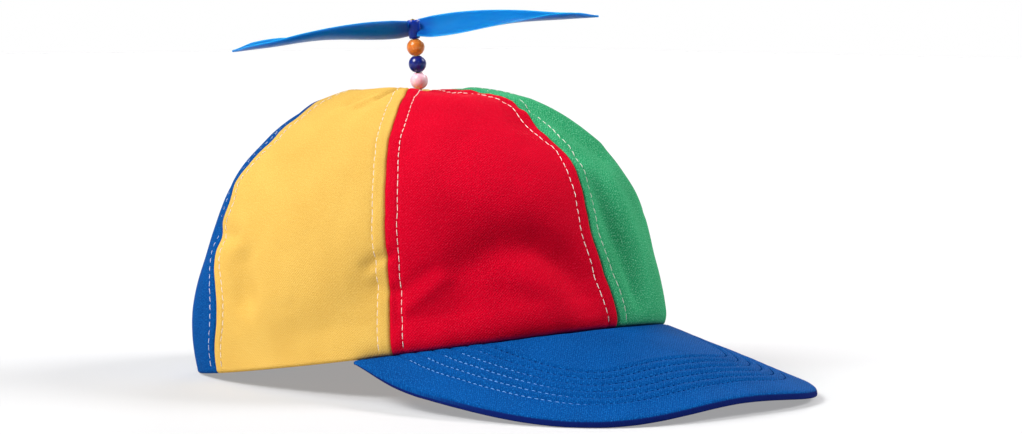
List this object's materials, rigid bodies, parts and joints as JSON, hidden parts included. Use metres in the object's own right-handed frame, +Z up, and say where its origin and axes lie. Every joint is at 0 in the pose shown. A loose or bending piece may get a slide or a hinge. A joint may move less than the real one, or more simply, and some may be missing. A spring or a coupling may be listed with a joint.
{
  "type": "propeller beanie",
  "caption": "Soft panelled twill cap in red, yellow, green and blue with a stiff curved brim, and a thin blue propeller that spins on a short stack of round beads",
  "frame": {"origin": "bottom middle of the whole part as it lies on a table", "axes": "+Y towards the back of the cap, +X to the wearer's left, +Z up"},
  "size_m": [0.1724, 0.2724, 0.1526],
  "materials": {
    "twill_green": "cotton twill",
    "twill_red": "cotton twill",
    "twill_yellow": "cotton twill",
    "twill_blue": "cotton twill",
    "bead_pink": "pearly",
    "bead_navy": "pearly",
    "bead_orange": "pearly",
    "pin_brass": "bright",
    "propeller_blue": "smooth, slightly see-through"
  },
  "bodies": {
    "cap": {"panel_front_left": "twill_green", "panel_side_left": "twill_red", "panel_back_left": "twill_yellow", "panel_back_right": "twill_blue", "panel_side_right": "twill_yellow", "panel_front_right": "twill_red", "brim": "twill_blue", "bead_pink": "bead_pink", "bead_navy": "bead_navy", "bead_orange": "bead_orange", "pin": "pin_brass"},
    "propeller": {"propeller": "propeller_blue"}
  },
  "joints": [
    {"name": "propeller_spin", "type": "hinge", "parent": "cap", "child": "propeller", "pos_m": [-0.00277, 0.04496, 0.1442], "axis": [-0.1097, 0.0402, 0.9931], "continuous": true}
  ]
}
